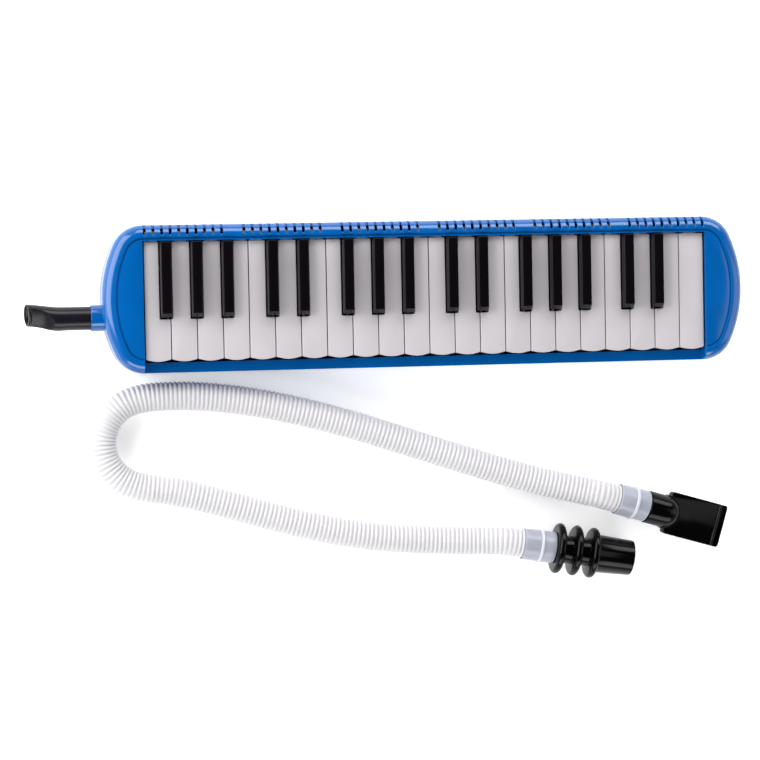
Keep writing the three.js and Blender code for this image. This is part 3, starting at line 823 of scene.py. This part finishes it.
def vent_cutter():
    slot = box_piece(
        "vents",
        (0, VENT_FRONT * MM, VENT_BOTTOM * MM),
        (VENT_WIDTH * MM, 0.052, 0.040),
    )
    select_where(slot, "edges", lambda e: upright(slot, e) and front_edge(slot, e))
    bpy.ops.mesh.bevel(offset=VENT_WIDTH * 0.49 * MM, segments=5, affect="EDGES")
    object_mode()
    for vertex in slot.data.vertices:
        if vertex.co.z < (VENT_BOTTOM + 1) * MM:
            fall = VENT_SLOPE * (vertex.co.y - VENT_FRONT * MM)
            vertex.co.z = (TOP - POCKET_DEPTH) * MM - fall
    return slot


def front_edge(obj, edge):
    return all(obj.data.vertices[i].co.y < (VENT_FRONT + 0.1) * MM for i in edge.vertices)


def vent_places():
    span = 2 * HALF_KEYBOARD - VENT_WIDTH - (VENTS_PER_GROUP - 1) * VENT_PITCH
    group_pitch = span / (VENT_GROUPS - 1)
    for group in range(VENT_GROUPS):
        for i in range(VENTS_PER_GROUP):
            yield -HALF_KEYBOARD + group * group_pitch + i * VENT_PITCH


first_slot = vent_cutter()
slots = []
for x in vent_places():
    slot = first_slot.copy()
    slot.data = first_slot.data.copy()
    bpy.context.scene.collection.objects.link(slot)
    slot.data.transform(Matrix.Translation((x * MM, 0, 0)))
    slots.append(slot)
bpy.data.objects.remove(first_slot, do_unlink=True)
neck_low, neck_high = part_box("inlet_neck")
neck_y = (neck_low.y + neck_high.y) / 2
neck_z = (neck_low.z + neck_high.z) / 2


def neck_cutter():
    """The round hole that both shells leave for the neck."""
    outside, inside = (-0.232, neck_y, neck_z), (-0.198, neck_y, neck_z)
    return cylinder_piece("neck_hole", 8.8 * MM, outside, inside, 48)


boolean(cover, "DIFFERENCE", [merge_objects(slots), neck_cutter()])


def on_vent(obj, edge):
    ends = [obj.data.vertices[i].co / MM for i in edge.vertices]
    return all(end.y > VENT_FRONT - 0.3 and end.z > PARTING + 2 for end in ends)


soften_some(cover, 0.2 * MM, lambda obj, edge: not on_vent(obj, edge))
soften_some(cover, 0.16 * MM, on_vent, 1, 60)
smooth(cover, 30)
finish_piece(cover, "case_blue", "case", "top_cover")

# %% [markdown]
# ## The bottom case
# The lower shell has the same outline, a round lower edge, and holes in its floor for four screws
# and the drain button. A shallow step along the joint shows as a fine shadow line.

# %% Bottom shell
bottom = round_block("bottom", 0, 0, PARTING - HALF_JOINT, 5, 8, at_top=False)
bottom_room = round_block("bottom_room", WALL, WALL, PARTING + 5, 1.2, 3, at_top=False)
boolean(bottom, "DIFFERENCE", [bottom_room])
screws = [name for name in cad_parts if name.startswith("case_screw")]


def middle(node):
    low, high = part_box(node)
    return (low + high) / 2


def upright_pin(name, radius, node, low, high):
    """A cylinder through the middle of a node, from low to high, in millimetres."""
    spot = middle(node)
    return cylinder_piece(
        name, radius * MM, (spot.x, spot.y, low * MM), (spot.x, spot.y, high * MM)
    )


bosses, holes = [], []
for name in screws:
    bosses.append(upright_pin("boss", 4.2, name, 1, 12))
    holes.append(upright_pin("head", 3.1, name, -1, 5.7))
    holes.append(upright_pin("shank", 1.7, name, 0, 13))
holes.append(upright_pin("drain", 4.7, "drain_button", -1, 3))
holes.append(neck_cutter())
boolean(bottom, "UNION", bosses)
boolean(bottom, "DIFFERENCE", holes)
soften(bottom, 0.3 * MM, 2, 38)
smooth(bottom, 30)
finish_piece(bottom, "case_blue", "case", "bottom_case")

# %% [markdown]
# ## The neck
# A short tube with a slightly widened mouth, which the mouthpiece or the hose connector seats on.

# %% Neck
def neck_profile():
    mouth = neck_low.x / MM
    inner = neck_high.x / MM
    flange = (-208.5, -206)
    profile = [(mouth + 1.8, 8.05), (mouth + 1.8, 6.9), (inner, 6.9), (inner, 8.5)]
    profile += [(flange[1], 8.5), (flange[1], 9.8), (flange[0], 9.8), (flange[0], 8.5)]
    profile += arc(mouth + 0.35, 8.15, 0.35, 90, 180, 4)
    profile += [(mouth, 8.1), (mouth + 0.05, 8.05)]
    return profile


neck = spun("neck", neck_profile(), Matrix.Translation((0, neck_y, neck_z)))
soften(neck, 0.15 * MM, 2, 50)
smooth(neck)
finish_piece(neck, "case_blue", "case", "inlet_neck")

# %% [markdown]
# ## The short mouthpiece
# A round tube that flattens into a beak for the lips, rolled a little towards the player. The tube
# is a skin over ovals: each one has a place, a width, a height and a lean, and a smooth curve runs
# through them.

# %% Mouthpiece ovals
MOUTH = neck_low.x / MM
BEAK_ROLL = math.radians(27)
UP_SIDE = Vector((0, -math.sin(BEAK_ROLL), math.cos(BEAK_ROLL)))
FLAT_SIDE = Vector((0, math.cos(BEAK_ROLL), math.sin(BEAK_ROLL)))
# x from the neck's mouth, y, z, width, height, lean
TUBE = [
    (-40.4, 2.6, 0.3, 14.6, 13.6, 1.6),
    (-36, 2.2, 0.2, 14.7, 14.0, 1.0),
    (-31, 1.4, 0.1, 15.0, 14.6, 0.4),
    (-26, 0.4, 0, 15.6, 15.2, 0),
    (-21, -0.1, 0, 15.7, 15.5, 0),
    (-15, 0, 0, 15.3, 15.3, 0),
    (-8, 0, 0, 15.2, 15.2, 0),
    (1.2, 0, 0, 15.2, 15.2, 0),
]
LIP = [
    (-41.3, 2.6, 0.3, 14.7, 6.6, 1.6),
    (-41.1, 2.6, 0.3, 15.6, 7.5, 1.6),
    (-40.5, 2.6, 0.3, 16.0, 7.9, 1.6),
    (-39.9, 2.5, 0.3, 15.6, 7.5, 1.5),
    (-39.3, 2.5, 0.3, 14.4, 6.2, 1.5),
]
BORE = [
    (-44, 3.0, 0.3, 14.0, 5.4, 1.7),
    (-41.0, 2.7, 0.3, 13.4, 5.0, 1.6),
    (-38, 2.4, 0.3, 12.4, 3.8, 1.4),
    (-28, 0.6, 0, 11.6, 7.0, 0),
    (-20, 0, 0, 10.4, 10.4, 0),
    (15, 0, 0, 10.4, 10.4, 0),
]


def blended(rows, share):
    """The oval a given share of the way along the rows, on a smooth curve."""
    at = share * (len(rows) - 1)
    i = min(int(at), len(rows) - 2)
    t = at - i
    before, a, b, after = (rows[max(0, min(len(rows) - 1, i + k))] for k in (-1, 0, 1, 2))
    result = []
    for p0, p1, p2, p3 in zip(before, a, b, after):
        slope1, slope2 = (p2 - p0) / 2, (p3 - p1) / 2
        h00, h10 = 2 * t**3 - 3 * t**2 + 1, t**3 - 2 * t**2 + t
        h01, h11 = -2 * t**3 + 3 * t**2, t**3 - t**2
        result.append(h00 * p1 + h10 * slope1 + h01 * p2 + h11 * slope2)
    return result


def oval_skin(name, rows, count, sides=64, tail=()):
    """A closed skin over ovals that are rolled about the tube's axis."""
    ovals = [blended(rows, i / count) for i in range(count + 1)] + list(tail)
    vertices = []
    for x, y, z, width, height, lean in ovals:
        middle = Vector((MOUTH + x, neck_y / MM + y, neck_z / MM + z))
        for j in range(sides):
            angle = 2 * math.pi * j / sides
            across, up = math.cos(angle) * width / 2, math.sin(angle) * height / 2
            tip = Vector((lean * math.sin(angle), 0, 0))
            vertices.append((middle + across * FLAT_SIDE + up * UP_SIDE + tip) * MM)
    faces = []
    for i in range(len(ovals) - 1):
        for j in range(sides):
            k = (j + 1) % sides
            faces.append((i * sides + j, i * sides + k, (i + 1) * sides + k, (i + 1) * sides + j))
    faces.append(tuple(range(sides)))
    last = (len(ovals) - 1) * sides
    faces.append(tuple(reversed(range(last, last + sides))))
    obj = new_mesh_object(name, vertices, faces)
    clean(obj)
    return obj


# %% [markdown]
# The beak is the tube scooped away above and below with a large round cutter. Where the scoop runs
# out of the tube it leaves a crescent edge. A rolled lip closes the end, and the bore is cut last.

# %% Scoops, lip and bore
SCOOP_RADIUS = 21.0
SCOOP_X = -37.6
BEAK_HALF = 2.9


def scoop(side):
    middle = Vector((MOUTH + SCOOP_X, neck_y / MM + 2.2, neck_z / MM + 0.2))
    middle += side * (BEAK_HALF + SCOOP_RADIUS) * UP_SIDE
    low, high = (middle - 12 * FLAT_SIDE) * MM, (middle + 12 * FLAT_SIDE) * MM
    return cylinder_piece("scoop", SCOOP_RADIUS * MM, low, high, 128)


spigot_ovals = [(1.2, 0, 0, 13.2, 13.2, 0), (12.6, 0, 0, 12.8, 12.8, 0), (13, 0, 0, 12.2, 12.2, 0)]
mouthpiece = oval_skin("mouthpiece", TUBE, 56, tail=spigot_ovals)
boolean(mouthpiece, "DIFFERENCE", [scoop(1), scoop(-1)])
boolean(mouthpiece, "UNION", [oval_skin("lip", LIP, 16)])
boolean(mouthpiece, "DIFFERENCE", [oval_skin("bore", BORE, 30)])
soften(mouthpiece, 0.25 * MM, 2, 24)
smooth(mouthpiece, 40)
finish_piece(mouthpiece, "mouthpiece_black", "short_mouthpiece", "short_mouthpiece")

# %% [markdown]
# ## The keys
# The frame already holds each key with its pocket, web, tail and valve pad. What a moulded key adds
# is soft edges, which draw the fine bright lines between the keys. Each key is copied, its loose
# triangles are merged back into flat faces, and its edges are rounded.

# %% Rounded keys
PAD_TOP = 21.75 * MM
PAD_FRONT = 33 * MM


def merged_copy(node, name):
    copy = bpy.data.objects.new(name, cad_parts[node].data.copy())
    bpy.context.scene.collection.objects.link(copy)
    copy.data.materials.clear()
    pick(copy)
    bpy.ops.object.mode_set(mode="EDIT")
    bpy.ops.mesh.select_all(action="SELECT")
    bpy.ops.mesh.remove_doubles(threshold=2e-6)
    bpy.ops.mesh.dissolve_limited(angle_limit=math.radians(1))
    object_mode()
    return copy


def make_key(node):
    is_white = node.startswith("white")
    name = node.replace("_key_", "_top_")
    key = merged_copy(node, name)
    soften(key, (0.4 if is_white else 0.38) * MM, 3, 35)
    smooth(key, 45)
    slot = "key_white" if is_white else "key_black"
    key.data.materials.append(MATERIALS[slot])
    key.data.materials.append(pad_felt)
    for face in key.data.polygons:
        is_pad = face.center.z < PAD_TOP and face.center.y > PAD_FRONT
        face.material_index = 1 if is_pad else 0
    finish_piece(key, slot, node, node)


for node in sorted(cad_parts):
    if "_key_" in node:
        make_key(node)

# %% [markdown]
# ## Works inside
# Rod, springs and boards keep their engineered shape and get their own finishes. The screws and the
# drain button also get soft edges. A brass tongue is added under each slot of the reed plate: it is
# riveted at one end, free at the other, and it is what sounds.

# %% Inner pieces
INNER = {
    "reed_chamber": "inner_plastic",
    "valve_board": "inner_plastic",
    "key_frame": "inner_plastic",
    "chamber_gasket": "gasket_rubber",
    "reed_plate": "reed_brass",
    "pivot_rod": "spring_steel",
    "spring_comb": "spring_steel",
    "drain_spring": "spring_steel",
    "stop_felt": "stop_felt",
}
for node, slot in INNER.items():
    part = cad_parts[node]
    part.data.materials.clear()
    part.data.materials.append(MATERIALS[slot])
for node in screws:
    screw = merged_copy(node, node.replace("case_screw", "screw"))
    soften(screw, 0.12 * MM, 2, 35)
    smooth(screw)
    finish_piece(screw, "screw_steel", "case", node)
button = merged_copy("drain_button", "button")
soften(button, 0.25 * MM, 3, 35)
smooth(button)
finish_piece(button, "fitting_black", "drain_button", "drain_button")

# %% Reed tongues
plate_low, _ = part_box("reed_plate")


TONGUE_ROOT, TONGUE_TIP = 43.0 * MM, 30.5 * MM


def reed_tongues():
    """One tongue and its rivet under each slot, at the x where that key's pad sits."""
    tongues = []
    keys = [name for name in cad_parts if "_key_" in name]
    for node in keys:
        pad = max(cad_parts[node].data.vertices, key=lambda v: v.co.y).co
        same = [v.co.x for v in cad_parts[node].data.vertices if v.co.y > pad.y - 1e-5]
        x = (min(same) + max(same)) / 2
        low = plate_low.z - 0.28 * MM
        tongue = box_piece(
            "tongue",
            (x - 0.95 * MM, TONGUE_TIP, low),
            (x + 0.95 * MM, TONGUE_ROOT, low + 0.18 * MM),
        )
        y = TONGUE_ROOT - 0.6 * MM
        rivet = cylinder_piece("rivet", 0.6 * MM, (x, y, low - 0.1 * MM), (x, y, low), 10)
        tongues += [tongue, rivet]
    return merge_objects(tongues)


reeds = reed_tongues()
reeds.name = "reed_tongues"
smooth(reeds)
finish_piece(reeds, "reed_brass", "case")

# %% [markdown]
# ## Table and light
# The instrument lies on a plain white sheet that is softly lit from within, as a light table is, so
# it stays white where shadows fall. A large soft light from the left draws the broad highlight
# along the rim, and wide lights from the back, the front and the right fill in. Nothing bright
# hangs straight above, so the black keys stay black.

# %% Table
bpy.ops.object.select_all(action="DESELECT")
bpy.ops.mesh.primitive_plane_add(size=12, location=(0, 0, -0.0002))
table = bpy.context.active_object
table.name = "table"
table_material, table_tree, table_shader, table_place = node_tree("table_top")
cloud = noise(table_tree, table_place, 3)
table_colour = ramp_colours(table_tree, cloud, (0.93, 0.93, 0.93), (0.95, 0.95, 0.95))
table_tree.links.new(table_colour, table_shader.inputs["Base Color"])
table_shader.inputs["Roughness"].default_value = 0.9
table_shader.inputs["Specular IOR Level"].default_value = 0.0
table_tree.links.new(table_colour, table_shader.inputs["Emission Color"])
table_shader.inputs["Emission Strength"].default_value = 0.35
table.data.materials.append(table_material)

# %% Lights
def area_light(name, place, aim, size, power):
    data = bpy.data.lights.new(name, "AREA")
    data.shape = "RECTANGLE"
    data.size, data.size_y = size
    data.energy = power
    light = bpy.data.objects.new(name, data)
    bpy.context.scene.collection.objects.link(light)
    light.location = place
    light.rotation_mode = "QUATERNION"
    light.rotation_quaternion = (Vector(aim) - Vector(place)).to_track_quat("-Z", "Y")


area_light("key_left", (-1.5, 0.6, 0.9), (0, 0, 0), (2.2, 1.5), 60)
area_light("key_back", (0.6, 1.6, 1.0), (0, 0, 0), (2.4, 0.9), 45)
area_light("fill_front", (-0.1, -1.8, 1.0), (0, -0.05, 0), (2.8, 0.9), 42)
area_light("fill_right", (1.8, -0.2, 1.1), (0, 0, 0), (1.0, 1.6), 8)


def light_tent():
    """A world that is bright near the horizon and dark overhead, like a tent with a top hole."""
    world = bpy.data.worlds.new("studio")
    bpy.context.scene.world = world
    world.use_nodes = True
    tree = world.node_tree
    place = tree.nodes.new("ShaderNodeTexCoord")
    split = tree.nodes.new("ShaderNodeSeparateXYZ")
    ramp = tree.nodes.new("ShaderNodeValToRGB")
    ramp.color_ramp.interpolation = "EASE"
    ramp.color_ramp.elements[0].position = 0.3
    ramp.color_ramp.elements[0].color = (0.65, 0.65, 0.66, 1)
    ramp.color_ramp.elements[1].position = 0.72
    ramp.color_ramp.elements[1].color = (0.02, 0.02, 0.02, 1)
    tree.links.new(place.outputs["Generated"], split.inputs["Vector"])
    tree.links.new(split.outputs["Z"], ramp.inputs["Fac"])
    tree.links.new(ramp.outputs["Color"], tree.nodes["Background"].inputs["Color"])
    tree.nodes["Background"].inputs["Strength"].default_value = 1.0


light_tent()
bpy.context.scene.view_settings.view_transform = "Standard"
